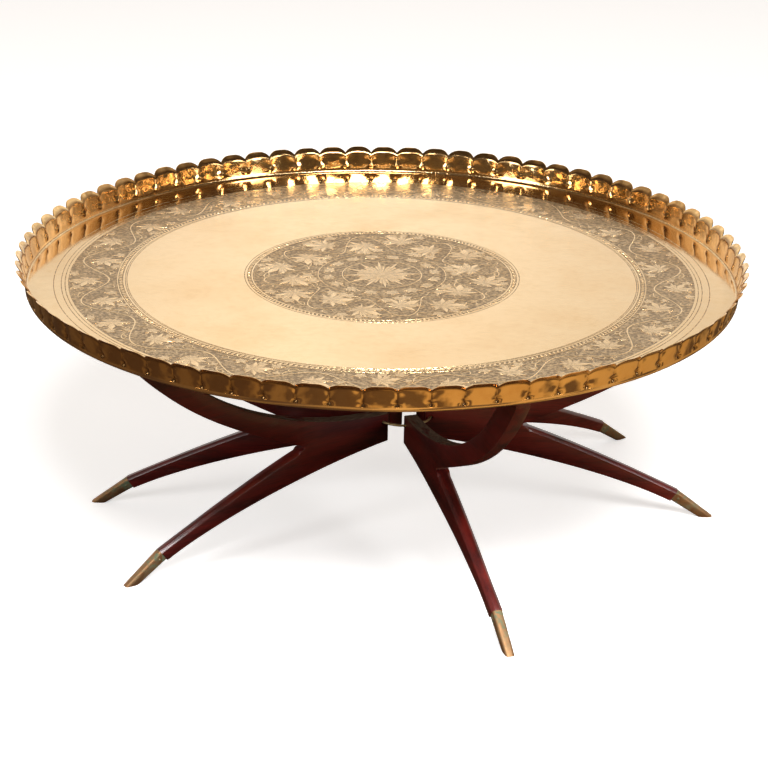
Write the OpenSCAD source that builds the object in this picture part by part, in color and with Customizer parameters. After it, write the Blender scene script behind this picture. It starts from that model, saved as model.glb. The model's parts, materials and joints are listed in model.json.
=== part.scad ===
// Brass tray table: a scalloped brass tray resting on a six-leg folding stand.
// Millimetres, +Z up. The origin is on the floor, straight below the middle of the tray.
// Each leg is one curved board: an arm sweeps up to the tray, a leg sweeps down to the floor,
// and its inner end is threaded on a brass wire ring, round which the six boards swing.

/* [Tray] */
// Diameter over the tips of the scallops
tray_d = 1170; // [960:10:1420]
// Height of the wall over the underside of the floor, at the scallop tips
wall_h = 45; // [36:1:60]
// Thickness of the brass sheet
sheet = 1.4; // [1.0:0.1:2.0]
// Outer radius of the bend between floor and wall
bend_r = 5; // [3:1:8]
// Height of the plain band below the flutes
band_h = 8; // [8:1:12]
// Number of flutes round the wall
lobes = 76; // [60:4:92]
// How far the middle of a flute swells past its creases at the top
lobe_bulge = 13; // [6:1:18]
// How much higher the middle of a scallop stands than its creases
lobe_rise = 8; // [4:1:12]
// How far the creases lean outwards from band to top
crease_lean = 3; // [0:1:8]

/* [Stand] */
// Height of the tray's underside over the floor
tray_z = 428; // [350:1:520]
// Place of the stand's axis under the tray, along X
stand_x = 39; // [0:1:45]
// Place of the stand's axis under the tray, along Y
stand_y = 20; // [0:1:25]
// Thickness of a board
board_t = 22; // [18:1:24]
// Thickness of a leg at the floor
foot_t = 15; // [13:1:17]
// Angle between neighbouring boards when the stand is folded
fold_step = 34; // [32:1:36]
// Least gap between the inner corners of the folded boards
fold_play = 0.6; // [0.4:0.1:1.5]
// Height of a board's lower corner at the hub
hub_bottom = 142; // [130:1:150]
// Height of a board's upper corner at the hub
hub_top = 191; // [180:1:215]
// Distance of the crotch between arm and leg from the stand's axis
crotch_r = 199; // [170:1:235]
// Height of the crotch between arm and leg
crotch_z = 166; // [158:1:172]
// Length of the flat on an arm's tip that carries the tray
tip_flat = 40; // [30:1:50]
// Thickness of an arm at its tip
tip_drop = 24; // [18:1:32]
// Gap between an arm's flat and the tray's underside
seat_gap = 0.02; // [0.01:0.01:0.1]
// How far the foot stands in from the arm's tip
foot_inset = 16; // [5:1:40]

/* [Ring] */
// Distance of the ring's wire from the boards' inner ends
ring_inset = 9; // [7:0.5:14]
// Diameter of the ring's wire
wire_d = 4; // [3:0.5:5]
// Height of the ring over the floor
ring_z = 176; // [165:1:180]
// Least play between the bent wire and the straight hole in a board
ring_play = 0.2; // [0.1:0.1:1]

/* [Foot caps] */
// Length of a cap along the leg, down to the floor
cap_len = 68; // [56:1:80]
// Steepness of the leg's end under the cap, in degrees
cap_slope = 35; // [30:1:40]
// Depth of a cap at its upper end
cap_depth = 19.5; // [16:0.5:23]
// Depth of a cap at the floor
toe_depth = 14; // [12:0.5:16]
// Wall of a cap
cap_wall = 1.2; // [0.8:0.1:1.6]
// Gap between a cap and the wood inside it
cap_fit = 0.05; // [0.02:0.01:0.1]
// Diameter of a cap nail's shank
nail_d = 2; // [1.5:0.1:2.5]
// Diameter of a cap nail's head
nail_head_d = 4.6; // [4:0.1:6]
// Length of a cap nail's shank
nail_len = 6; // [5:0.5:6.5]
// Distance of the nails from the cap's upper edge
nail_from_edge = 9; // [7:0.5:14]

/* [Hidden] */

// Directions in which the six legs point, leg 1 at the front
leg_angles = [288, 0, 39, 108, 178, 214];

// Tray
base_r = tray_d / 2 - lobe_bulge - crease_lean;
flute_h = wall_h - band_h;
steps_per_lobe = 4;
flute_levels = 3;
rim_sections = lobes * steps_per_lobe;
bend_steps = 6;
// How sharply the flutes curl outwards towards the top
curl = 1.6;

// Stand
arm_tip_r = base_r - stand_x;
arm_tip_z = tray_z - seat_gap;
foot_r = arm_tip_r - foot_inset;
// The boards' inner ends keep fold_play between them when the stand is folded
hub_r = (board_t / 2 * cos(fold_step / 2) + fold_play / 2) / sin(fold_step / 2);
ring_r = hub_r + ring_inset;
// How far the bent wire strays from a straight hole's middle within one board
ring_sag = ring_r - sqrt(pow(ring_r, 2) - pow(board_t / 2, 2));
ring_hole_d = wire_d + 2 * (ring_sag + ring_play);
curve_steps = 18;
// Extra length that makes cutters run past what they cut
over = 1;

// The leg's end: its axis comes down at cap_slope and meets the floor at foot_r
cap_axis = [cos(cap_slope), -sin(cap_slope)];
cap_side = [sin(cap_slope), cos(cap_slope)];
shoulder = [foot_r, 0] - cap_len * cap_axis;
shoulder_top = shoulder + cap_depth / 2 * cap_side;
shoulder_bottom = shoulder - cap_depth / 2 * cap_side;
// The wood stops this far from the floor, measured along the leg
spigot_gap = 14;
sole_h = 2.5;
toe_cut = 11;

wood = [0.32, 0.07, 0.05];
brass = [0.80, 0.62, 0.30];
aged_brass = [0.62, 0.42, 0.20];

// A point on the cubic curve through a and d, pulled towards b and c
function bezier(a, b, c, d, t) =
    a * pow(1 - t, 3) + 3 * b * t * pow(1 - t, 2) + 3 * c * t * t * (1 - t) + d * pow(t, 3);
function curve(a, b, c, d) =
    [for (i = [0 : curve_steps]) bezier(a, b, c, d, i / curve_steps)];

// ---- Tray ----

// Quarter bend from the flat floor up into the wall, on a radius round the bend's centre
function bend_arc(radius, from, to) = [
    for (i = [0 : bend_steps])
        let (a = from + (to - from) * i / bend_steps)
        [base_r - bend_r + radius * cos(a), tray_z + bend_r + radius * sin(a)]
];

module tray_floor() {
    color(brass)
        rotate_extrude($fn = 180)
            polygon(concat(
                [[0, tray_z]],
                bend_arc(bend_r, -90, 0),
                [[base_r, tray_z + band_h], [base_r - sheet, tray_z + band_h]],
                bend_arc(bend_r - sheet, 0, -90),
                [[0, tray_z + sheet]]
            ));
}

// Place across a flute: -1 and 1 at its creases, 0 at its middle
function across(i) = 2 * (i % steps_per_lobe) / steps_per_lobe - 1;
function bulge(i) = 1 - pow(across(i), 2);
function rim_radius(i, level) =
    base_r + crease_lean * level + lobe_bulge * pow(level, curl) * bulge(i);
function rim_height(i, level) =
    tray_z + band_h + level * (flute_h - lobe_rise * (1 - bulge(i)));
function rim_point(i, level, inset) =
    let (a = 360 * i / rim_sections + 180 / lobes, r = rim_radius(i, level) - inset)
    [r * cos(a), r * sin(a), rim_height(i, level)];
// One section of the wall: up the outside, then down the inside
function rim_section(i) = concat(
    [for (k = [0 : flute_levels]) rim_point(i, k / flute_levels, 0)],
    [for (k = [flute_levels : -1 : 0]) rim_point(i, k / flute_levels, sheet)]
);

module tray_rim() {
    ring = 2 * (flute_levels + 1);
    points = [for (i = [0 : rim_sections - 1]) each rim_section(i)];
    faces = [
        for (i = [0 : rim_sections - 1])
            for (k = [0 : ring - 1])
                let (j = (i + 1) % rim_sections, m = (k + 1) % ring)
                each [
                    [i * ring + k, i * ring + m, j * ring + m],
                    [i * ring + k, j * ring + m, j * ring + k]
                ]
    ];
    color(brass) polyhedron(points, faces, convexity = 10);
}

// ---- Stand ----

// Places what is modelled along +X where leg i stands
module at_leg(i) {
    translate([stand_x, stand_y, 0])
        rotate([0, 0, leg_angles[i]])
            children();
}

// A solid of the given thickness from a side view drawn in radius and height
module from_side(outline, thickness) {
    rotate([90, 0, 0])
        linear_extrude(thickness, center = true)
            polygon(outline);
}

function arm_top() = let (
    start = [hub_r, hub_top],
    end = [arm_tip_r - tip_flat, arm_tip_z]
) curve(start, start + [173, 1], end - [93, 166], end);

function arm_underside() = let (
    start = [arm_tip_r + 2, arm_tip_z - tip_drop],
    end = [crotch_r, crotch_z + 2]
) curve(start, start - [92, 134], end + [111, 47], end);

function leg_top() = let (
    start = [crotch_r, crotch_z - 2]
) curve(start, start + [91, -32], shoulder_top + [-79, 39], shoulder_top);

function leg_underside() = let (
    end = [hub_r, hub_bottom]
) curve(shoulder_bottom, shoulder_bottom + [-113, 55], end + [123, -13], end);

function board_outline() = concat(
    arm_top(), [[arm_tip_r, arm_tip_z]], arm_underside(), leg_top(), leg_underside()
);

// Seen from above, a leg narrows from the board's thickness at the crotch to foot_t at the floor
function leg_plan(inset) = [
    [0, board_t / 2 - inset], [crotch_r, board_t / 2 - inset],
    [foot_r, foot_t / 2 - inset], [foot_r + cap_len, foot_t / 2 - inset],
    [foot_r + cap_len, inset - foot_t / 2], [foot_r, inset - foot_t / 2],
    [crotch_r, inset - board_t / 2], [0, inset - board_t / 2]
];

module narrowed(inset) {
    intersection() {
        children();
        translate([0, 0, -cap_len]) linear_extrude(crotch_z + cap_len) polygon(leg_plan(inset));
    }
}

// The tapered end of a leg between two distances along its axis, drawn in by an inset
module leg_end(from, to, inset) {
    function half_depth(s) = (cap_depth + (toe_depth - cap_depth) * s / cap_len) / 2 - inset;
    function edge(s, side) = shoulder + s * cap_axis + side * half_depth(s) * cap_side;
    narrowed(inset)
        from_side([edge(from, 1), edge(to, 1), edge(to, -1), edge(from, -1)], board_t);
}

module nail_places() {
    place = shoulder + nail_from_edge * cap_axis;
    half = (board_t + (foot_t - board_t) * (place[0] - crotch_r) / (foot_r - crotch_r)) / 2;
    for (side = [-1, 1])
        translate([place[0], side * half, place[1]])
            rotate([-90 * side, 0, 0])
                children();
}

module nail_holes() {
    nail_places()
        translate([0, 0, -nail_len])
            cylinder(h = nail_len + over, d = nail_d, $fn = 24);
}

module leg(i) {
    color(wood)
        at_leg(i)
            difference() {
                union() {
                    intersection() {
                        from_side(board_outline(), board_t);
                        translate([0, -board_t / 2, crotch_z])
                            cube([arm_tip_r + cap_len, board_t, tray_z - crotch_z]);
                    }
                    narrowed(0) from_side(board_outline(), board_t);
                    leg_end(-over, cap_len - spigot_gap, cap_wall + cap_fit);
                }
                translate([ring_r, 0, ring_z])
                    rotate([90, 0, 0])
                        cylinder(h = board_t + 2 * over, d = ring_hole_d, center = true, $fn = 32);
                nail_holes();
            }
}

module foot_cap(i) {
    color(aged_brass)
        at_leg(i)
            difference() {
                leg_end(0, 2 * cap_len, 0);
                difference() {
                    leg_end(-over, cap_len, cap_wall);
                    translate([0, -board_t / 2, 0]) cube([foot_r + cap_len, board_t, sole_h]);
                }
                translate([0, -board_t, -2 * cap_len]) cube([2 * foot_r, 2 * board_t, 2 * cap_len]);
                translate([foot_r + toe_cut, -board_t, -over]) cube([cap_len, 2 * board_t, cap_len]);
                nail_holes();
            }
}

module cap_nails(i) {
    color(aged_brass)
        at_leg(i)
            nail_places() {
                translate([0, 0, -nail_len]) cylinder(h = nail_len + cap_fit, d = nail_d, $fn = 24);
                translate([0, 0, cap_fit]) cylinder(h = 0.5, d = nail_head_d, $fn = 24);
                translate([0, 0, cap_fit + 0.5])
                    cylinder(h = 0.5, d1 = nail_head_d, d2 = nail_head_d / 2, $fn = 24);
            }
}

module hub_ring() {
    color(brass)
        translate([stand_x, stand_y, ring_z])
            rotate_extrude($fn = 96)
                translate([ring_r, 0]) circle(d = wire_d, $fn = 24);
}

tray_floor();
tray_rim();
hub_ring();
leg(0);  // leg_1
leg(1);  // leg_2
leg(2);  // leg_3
leg(3);  // leg_4
leg(4);  // leg_5
leg(5);  // leg_6
foot_cap(0);  // foot_cap_1
foot_cap(1);  // foot_cap_2
foot_cap(2);  // foot_cap_3
foot_cap(3);  // foot_cap_4
foot_cap(4);  // foot_cap_5
foot_cap(5);  // foot_cap_6
cap_nails(0);  // cap_nails_1
cap_nails(1);  // cap_nails_2
cap_nails(2);  // cap_nails_3
cap_nails(3);  // cap_nails_4
cap_nails(4);  // cap_nails_5
cap_nails(5);  // cap_nails_6
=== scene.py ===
"""Looks of a brass tray table: an engraved, scalloped brass tray on a stand of six curved boards.

Everything is in metres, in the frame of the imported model: +Z up, the front towards -Y, and the
origin on the floor below the middle of the tray.
"""

import json
import logging
import math
from collections.abc import Callable, Iterable, Iterator
from dataclasses import dataclass, field
from enum import Enum

import bmesh
import bpy
from mathutils import Matrix, Vector, noise


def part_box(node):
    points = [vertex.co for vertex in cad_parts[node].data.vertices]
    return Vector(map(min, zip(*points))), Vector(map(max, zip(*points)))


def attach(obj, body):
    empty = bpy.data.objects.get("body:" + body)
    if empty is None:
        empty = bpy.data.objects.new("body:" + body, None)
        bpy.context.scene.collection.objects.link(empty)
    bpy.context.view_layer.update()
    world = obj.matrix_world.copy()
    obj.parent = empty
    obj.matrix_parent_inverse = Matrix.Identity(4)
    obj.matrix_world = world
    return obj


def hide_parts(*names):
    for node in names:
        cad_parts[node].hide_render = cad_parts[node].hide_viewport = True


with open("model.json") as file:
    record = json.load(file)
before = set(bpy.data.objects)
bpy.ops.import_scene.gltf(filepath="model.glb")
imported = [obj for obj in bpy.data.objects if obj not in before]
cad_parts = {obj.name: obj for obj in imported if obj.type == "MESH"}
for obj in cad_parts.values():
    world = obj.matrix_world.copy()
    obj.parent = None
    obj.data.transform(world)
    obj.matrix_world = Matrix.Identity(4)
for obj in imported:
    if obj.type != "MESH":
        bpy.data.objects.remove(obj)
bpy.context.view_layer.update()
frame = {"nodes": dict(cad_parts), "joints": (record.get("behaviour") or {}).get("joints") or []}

LOG = logging.getLogger("tray_table")
MM = 0.001
SEAT_GAP = 0.02 * MM
Colour = tuple[float, float, float, float]
BMesh = bmesh.types.BMesh
Socket = bpy.types.NodeSocket
Value = Socket | float | Colour

# Names of the meshes' attributes: how dark and rough the surface is (the depth of an engraved hollow on
# the floor, a plain darkening round its bend and underneath, and painted shade on the wall), room for
# verdigris and place in the plank.
CUT_AND_PAINTED_SHADE = "cut"
WORN = "worn"
PLACE = "place"


# ---------------------------------------------------------------- helpers


def wobble(seed: float, row: float = 0.0) -> float:
    """Return a smooth, repeatable number from -1 to 1 for a seed."""
    return max(-1.0, min(1.0, 1.6 * noise.noise(Vector((seed * 1.37, row * 7.1, 0.5)))))


def smoothstep(low: float, high: float, value: float) -> float:
    """Return 0 below low, 1 above high and a smooth rise between them."""
    t = max(0.0, min(1.0, (value - low) / (high - low)))
    return t * t * (3 - 2 * t)


def polar(radius: float, angle: float, height: float = 0.0) -> Vector:
    """Return the point at a radius, an angle round the Z axis and a height."""
    return Vector((radius * math.cos(angle), radius * math.sin(angle), height))


def bezier(a: Vector, b: Vector, c: Vector, d: Vector, steps: int) -> list[Vector]:
    """Return points along a cubic curve.

    Args:
        a: Start of the curve.
        b: Point that pulls the start.
        c: Point that pulls the end.
        d: End of the curve.
        steps: Number of stretches between the points.

    Returns:
        steps + 1 points, from a to d.
    """
    points = []
    for i in range(steps + 1):
        t = i / steps
        u = 1 - t
        points.append(a * u**3 + b * 3 * t * u**2 + c * 3 * t**2 * u + d * t**3)
    return points


def mark_sharp(bm: BMesh, degrees: float) -> None:
    """Shade all faces smooth, except across edges that turn more than an angle."""
    for face in bm.faces:
        face.smooth = True
    for edge in bm.edges:
        edge.smooth = len(edge.link_faces) == 2 and edge.calc_face_angle(0.0) < math.radians(degrees)


def close_up(bm: BMesh, distance: float = 1e-6) -> None:
    """Merge doubled vertices and turn all faces outwards."""
    bmesh.ops.remove_doubles(bm, verts=bm.verts[:], dist=distance)
    bmesh.ops.recalc_face_normals(bm, faces=bm.faces[:])


def bevel(
    bm: BMesh, edges: list[bmesh.types.BMEdge], width: float, segments: int, clamp: bool = False
) -> None:
    """Bevel edges to one width, which clamp lessens where two bevels would meet."""
    bmesh.ops.bevel(
        bm, geom=edges, offset=width, offset_type="OFFSET", affect="EDGES",
        segments=segments, profile=0.5, material=-1, clamp_overlap=clamp,
    )


def wrapped_grid(bm: BMesh, rows: int, steps: int) -> Iterator[tuple[bmesh.types.BMVert, int, float]]:
    """Make a grid to be wrapped round the Z axis, whose seam close_up() then closes.

    Args:
        bm: Mesh that the grid goes into.
        rows: Number of points of the section.
        steps: Number of stretches round the axis.

    Yields:
        Each vertex with its row in the section and its angle round the axis.
    """
    verts = bmesh.ops.create_grid(bm, x_segments=steps, y_segments=rows - 1, size=0.5)["verts"]
    for vert in verts:
        row = round((vert.co.y + 0.5) * (rows - 1))
        step = round((vert.co.x + 0.5) * steps)
        yield vert, row, step / steps * math.tau


@dataclass
class Piece:
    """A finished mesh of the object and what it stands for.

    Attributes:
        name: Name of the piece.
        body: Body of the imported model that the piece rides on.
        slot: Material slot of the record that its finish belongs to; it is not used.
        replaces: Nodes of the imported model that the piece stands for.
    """

    name: str
    body: str
    slot: str
    replaces: tuple[str, ...] = ()

    def make(self, bm: BMesh, materials: Iterable[bpy.types.Material]) -> bpy.types.Object:
        """Turn a bmesh into an object that rides on its body.

        Args:
            bm: The finished mesh, in the row frame. It is freed.
            materials: Materials in the order of the faces' indices.

        Returns:
            The new object.
        """
        mesh = bpy.data.meshes.new(self.name)
        bm.to_mesh(mesh)
        bm.free()
        for material in materials:
            mesh.materials.append(material)
        piece = bpy.data.objects.new(self.name, mesh)
        bpy.context.scene.collection.objects.link(piece)
        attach(piece, self.body)
        if self.replaces:
            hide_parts(*self.replaces)
        LOG.info("%s: %d faces on %s", self.name, len(mesh.polygons), self.body)
        return piece


# ---------------------------------------------------------------- materials


class Graph:
    """Short way to add and link nodes in a material or a node group."""

    def __init__(self, tree: bpy.types.NodeTree) -> None:
        """Keep the tree that the nodes go into."""
        self.tree = tree

    def add(self, kind: str, inputs: dict | None = None, **settings: object) -> bpy.types.Node:
        """Add a node, set its properties and fill or link its inputs.

        Args:
            kind: Type name of the node.
            inputs: For each input's name or index, a value or the socket to link.
            settings: Properties of the node.

        Returns:
            The new node.
        """
        node = self.tree.nodes.new(kind)
        for key, value in settings.items():
            setattr(node, key, value)
        for key, value in (inputs or {}).items():
            if isinstance(value, Socket):
                self.link(value, node, key)
            else:
                node.inputs[key].default_value = value
        return node

    def math(self, operation: str, a: Value, b: Value = 0.0, clamp: bool = False) -> Socket:
        """Return the result of a math node on two values or sockets."""
        return self.add("ShaderNodeMath", {0: a, 1: b}, operation=operation, use_clamp=clamp).outputs[0]

    def times(self, a: Value, b: Value) -> Socket:
        """Return the product of two values or sockets."""
        return self.math("MULTIPLY", a, b)

    def plus(self, a: Value, b: Value) -> Socket:
        """Return the sum of two values or sockets."""
        return self.math("ADD", a, b)

    def mix(self, factor: Value, a: Value, b: Value) -> Socket:
        """Return the colour between a and b at a factor."""
        return self.add("ShaderNodeMix", {0: factor, 6: a, 7: b}, data_type="RGBA").outputs[2]

    def ramp(
        self, value: Value, low: float, high: float, start: float = 0.0, end: float = 1.0
    ) -> Socket:
        """Return a value mapped from the range low to high onto start to end, clamped."""
        return self.add("ShaderNodeMapRange", {0: value, 1: low, 2: high, 3: start, 4: end}).outputs[0]

    def noise(
        self,
        place: Socket,
        scale: float,
        detail: float = 2.0,
        stretch: tuple[float, float, float] = (1, 1, 1),
    ) -> Socket:
        """Return noise at a scale per metre, finer along an axis whose stretch is larger."""
        mapped = self.add("ShaderNodeMapping", {"Vector": place, "Scale": stretch}).outputs[0]
        inputs = {"Vector": mapped, "Scale": scale, "Detail": detail}
        return self.add("ShaderNodeTexNoise", inputs).outputs[0]

    def bump(
        self, height: Socket, distance: float, strength: float = 1.0, normal: Socket | None = None
    ) -> Socket:
        """Return the normal of a height that lies on another normal, or on the mesh's own."""
        inputs = {"Strength": strength, "Distance": distance, "Height": height}
        if normal is not None:
            inputs["Normal"] = normal
        return self.add("ShaderNodeBump", inputs).outputs[0]

    def attribute(self, name: str, output: str = "Fac") -> Socket:
        """Return an attribute of the mesh."""
        return self.add("ShaderNodeAttribute", attribute_name=name).outputs[output]

    def place(self, group: bpy.types.NodeTree, inputs: dict) -> bpy.types.Node:
        """Place a shared node group and fill its inputs."""
        return self.add("ShaderNodeGroup", inputs, node_tree=group)

    def link(self, value: Socket, node: bpy.types.Node, socket: str | int) -> None:
        """Link a value to a node's input, given by its name or index."""
        self.tree.links.new(value, node.inputs[socket])


def new_group(
    name: str, inputs: dict[str, str], outputs: dict[str, str]
) -> tuple[bpy.types.NodeTree, Graph]:
    """Start a shader node group.

    Args:
        name: Name of the group.
        inputs: Socket type for each input's name.
        outputs: Socket type for each output's name.

    Returns:
        The group and a graph to fill it, with nodes "in" and "out" for its sockets.
    """
    group = bpy.data.node_groups.new(name, "ShaderNodeTree")
    for socket, kind in inputs.items():
        group.interface.new_socket(socket, in_out="INPUT", socket_type=kind)
    for socket, kind in outputs.items():
        group.interface.new_socket(socket, in_out="OUTPUT", socket_type=kind)
    graph = Graph(group)
    graph.add("NodeGroupInput", name="in")
    graph.add("NodeGroupOutput", name="out")
    return group, graph


class SharedEffects:
    """Node groups that more than one finish uses."""

    def __init__(self) -> None:
        """Build every group once."""
        self.tarnish = self.build_tarnish()
        self.handling = self.build_handling()

    @staticmethod
    def build_tarnish() -> bpy.types.NodeTree:
        """Clouds of darker metal, broad ones and fine ones."""
        group, graph = new_group(
            "tarnish",
            {
                "Vector": "NodeSocketVector",
                "Clean": "NodeSocketColor",
                "Dark": "NodeSocketColor",
                "Amount": "NodeSocketFloat",
            },
            {"Color": "NodeSocketColor"},
        )
        sockets = group.nodes["in"].outputs
        broad = graph.ramp(graph.noise(sockets["Vector"], 7.0, 4.0), 0.42, 0.75)
        fine = graph.ramp(graph.noise(sockets["Vector"], 90.0, 5.0), 0.45, 0.75)
        clouds = graph.times(graph.plus(broad, graph.times(fine, 0.5)), sockets["Amount"])
        mask = graph.math("MINIMUM", clouds, 1.0)
        graph.link(graph.mix(mask, sockets["Clean"], sockets["Dark"]), group.nodes["out"], "Color")
        return group

    @staticmethod
    def build_handling() -> bpy.types.NodeTree:
        """Fine rubbing marks and scuffs, as a height and a roughness that they add."""
        group, graph = new_group(
            "handling",
            {"Vector": "NodeSocketVector", "Base": "NodeSocketFloat", "Scuffs": "NodeSocketFloat"},
            {"Roughness": "NodeSocketFloat", "Height": "NodeSocketFloat"},
        )
        sockets = group.nodes["in"].outputs
        rubbing = graph.noise(sockets["Vector"], 10.0, 4.0, stretch=(0.6, 16.0, 6.0))
        smears = graph.ramp(graph.noise(sockets["Vector"], 14.0, 5.0), 0.4, 0.8)
        added = graph.times(graph.plus(smears, rubbing), sockets["Scuffs"])
        graph.link(graph.plus(sockets["Base"], added), group.nodes["out"], "Roughness")
        graph.link(rubbing, group.nodes["out"], "Height")
        return group


@dataclass(frozen=True)
class Finish:
    """A surface finish that becomes one material.

    Attributes:
        name: Name of the material.
    """

    name: str

    def start(self) -> tuple[bpy.types.Material, Graph, bpy.types.Node]:
        """Return a new material, its graph and its Principled shader."""
        material = bpy.data.materials.new(self.name)
        material.use_nodes = True
        return material, Graph(material.node_tree), material.node_tree.nodes["Principled BSDF"]


@dataclass(frozen=True)
class SheetBrass(Finish):
    """Polished brass sheet, with dark ground wherever the graver has been and painted shade by the wall's
    creases and under its lip.

    Attributes:
        clean: Colour of the polished metal.
        warm: Colour of the metal where polish has thinned.
        ground: Colour of engraved hollows, and of the painted shade by the wall's creases and under its
            lip.
        roughness: Roughness of the metal in the middle, where things have stood.
        polished: Roughness of the metal by the wall.
        dull_inside: Distance from the tray's origin within which the metal is dull.
        bright_outside: Distance from the tray's origin beyond which it is fully polished.
        waves: Height of the slow dents of hand work.
        wave_scale: How many of those dents there are per metre.
        stippled: Whether the hollows are punched with small marks.
        tarnish: How strongly the clouds of warm metal show.
        scuffs: How much rubbing and smears add to the roughness.
        grime_and_shade: How much rougher the dark ground is than the face: engraved hollows, and the
            painted shade on the wall.
        stroke_scale: How fine the graver's strokes in the hollows are, per metre.
        dot_scale: How fine the punched dots are, per metre.
        punch: Depth of those marks.
        rub: Depth of the fine rubbing marks.
    """

    clean: Colour = (0.83, 0.59, 0.32, 1)
    warm: Colour = (0.74, 0.46, 0.19, 1)
    ground: Colour = (0.20, 0.12, 0.045, 1)
    roughness: float = 0.17
    polished: float = 0.06
    dull_inside: float = 0.55
    bright_outside: float = 0.69
    waves: float = 0.4 * MM
    wave_scale: float = 9.0
    stippled: bool = True
    tarnish: float = 0.55
    scuffs: float = 0.05
    grime_and_shade: float = 0.16
    stroke_scale: float = 320.0
    dot_scale: float = 420.0
    punch: float = 0.2 * MM
    rub: float = 0.01 * MM

    def build(self, effects: SharedEffects) -> bpy.types.Material:
        """Return the material."""
        material, graph, shader = self.start()
        place = graph.add("ShaderNodeTexCoord").outputs["Object"]
        cut = graph.attribute(CUT_AND_PAINTED_SHADE)
        metal = {"Vector": place, "Clean": self.clean, "Dark": self.warm, "Amount": self.tarnish}
        tarnish = graph.place(effects.tarnish, metal)
        reach = graph.add("ShaderNodeVectorMath", {0: place}, operation="LENGTH").outputs["Value"]
        base = graph.ramp(reach, self.dull_inside, self.bright_outside, self.roughness, self.polished)
        handling = graph.place(effects.handling, {"Vector": place, "Base": base, "Scuffs": self.scuffs})
        waves = graph.bump(graph.noise(place, self.wave_scale), self.waves)
        normal = graph.bump(handling.outputs["Height"], self.rub, normal=waves)
        # The cut attribute mixes in the ground colour: engraved hollows on the floor, and on the wall
        # painted shade by the creases and under the lip.
        depth = cut
        if self.stippled:
            strokes = graph.noise(place, self.stroke_scale, 3.0, stretch=(0.6, 1.0, 1.0))
            punched = graph.add("ShaderNodeTexVoronoi", {"Vector": place, "Scale": self.dot_scale})
            dots = graph.ramp(punched.outputs["Distance"], 0.1, 0.5)
            marks = graph.times(graph.ramp(strokes, 0.42, 0.58), dots)
            depth = graph.times(cut, graph.ramp(marks, 0.0, 1.0, 1.0, 0.35))
            normal = graph.bump(graph.times(cut, marks), self.punch, normal=normal)
        graph.link(graph.mix(depth, tarnish.outputs["Color"], self.ground), shader, "Base Color")
        rough = graph.plus(handling.outputs["Roughness"], graph.times(cut, self.grime_and_shade))
        graph.link(rough, shader, "Roughness")
        graph.link(normal, shader, "Normal")
        shader.inputs["Metallic"].default_value = 1.0
        return material


@dataclass(frozen=True)
class AgedBrass(Finish):
    """Brass that nobody polishes: brown, matt, and green where damp has got in.

    Attributes:
        metal: Colour of the rubbed metal.
        brown: Colour of the old surface.
        green: Colour of the verdigris.
        roughness: Least roughness.
        corrosion: How much verdigris there is where the mesh's mask allows it.
        tarnish: How strongly the brown clouds show.
        scuffs: How much rubbing and smears add to the roughness.
        crust: How much rougher verdigris is than metal.
    """

    metal: Colour = (0.42, 0.24, 0.115, 1)
    brown: Colour = (0.24, 0.125, 0.06, 1)
    green: Colour = (0.13, 0.20, 0.12, 1)
    roughness: float = 0.42
    corrosion: float = 1.0
    tarnish: float = 0.8
    scuffs: float = 0.14
    crust: float = 0.35

    def build(self, effects: SharedEffects) -> bpy.types.Material:
        """Return the material."""
        material, graph, shader = self.start()
        place = graph.add("ShaderNodeTexCoord").outputs["Object"]
        metal = {"Vector": place, "Clean": self.metal, "Dark": self.brown, "Amount": self.tarnish}
        tarnish = graph.place(effects.tarnish, metal)
        base = {"Vector": place, "Base": self.roughness, "Scuffs": self.scuffs}
        handling = graph.place(effects.handling, base)
        spots = graph.ramp(graph.noise(place, 130.0, 5.0), 0.46, 0.62)
        room = graph.times(graph.attribute(WORN), spots)
        damp = graph.math("MULTIPLY", room, self.corrosion, clamp=True)
        graph.link(graph.mix(damp, tarnish.outputs["Color"], self.green), shader, "Base Color")
        rough = graph.plus(handling.outputs["Roughness"], graph.times(damp, self.crust))
        graph.link(rough, shader, "Roughness")
        graph.link(graph.ramp(damp, 0.0, 1.0, 0.9, 0.1), shader, "Metallic")
        pits = graph.noise(place, 260.0, 6.0)
        graph.link(graph.bump(pits, 0.3 * MM, strength=0.5), shader, "Normal")
        return material


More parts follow.
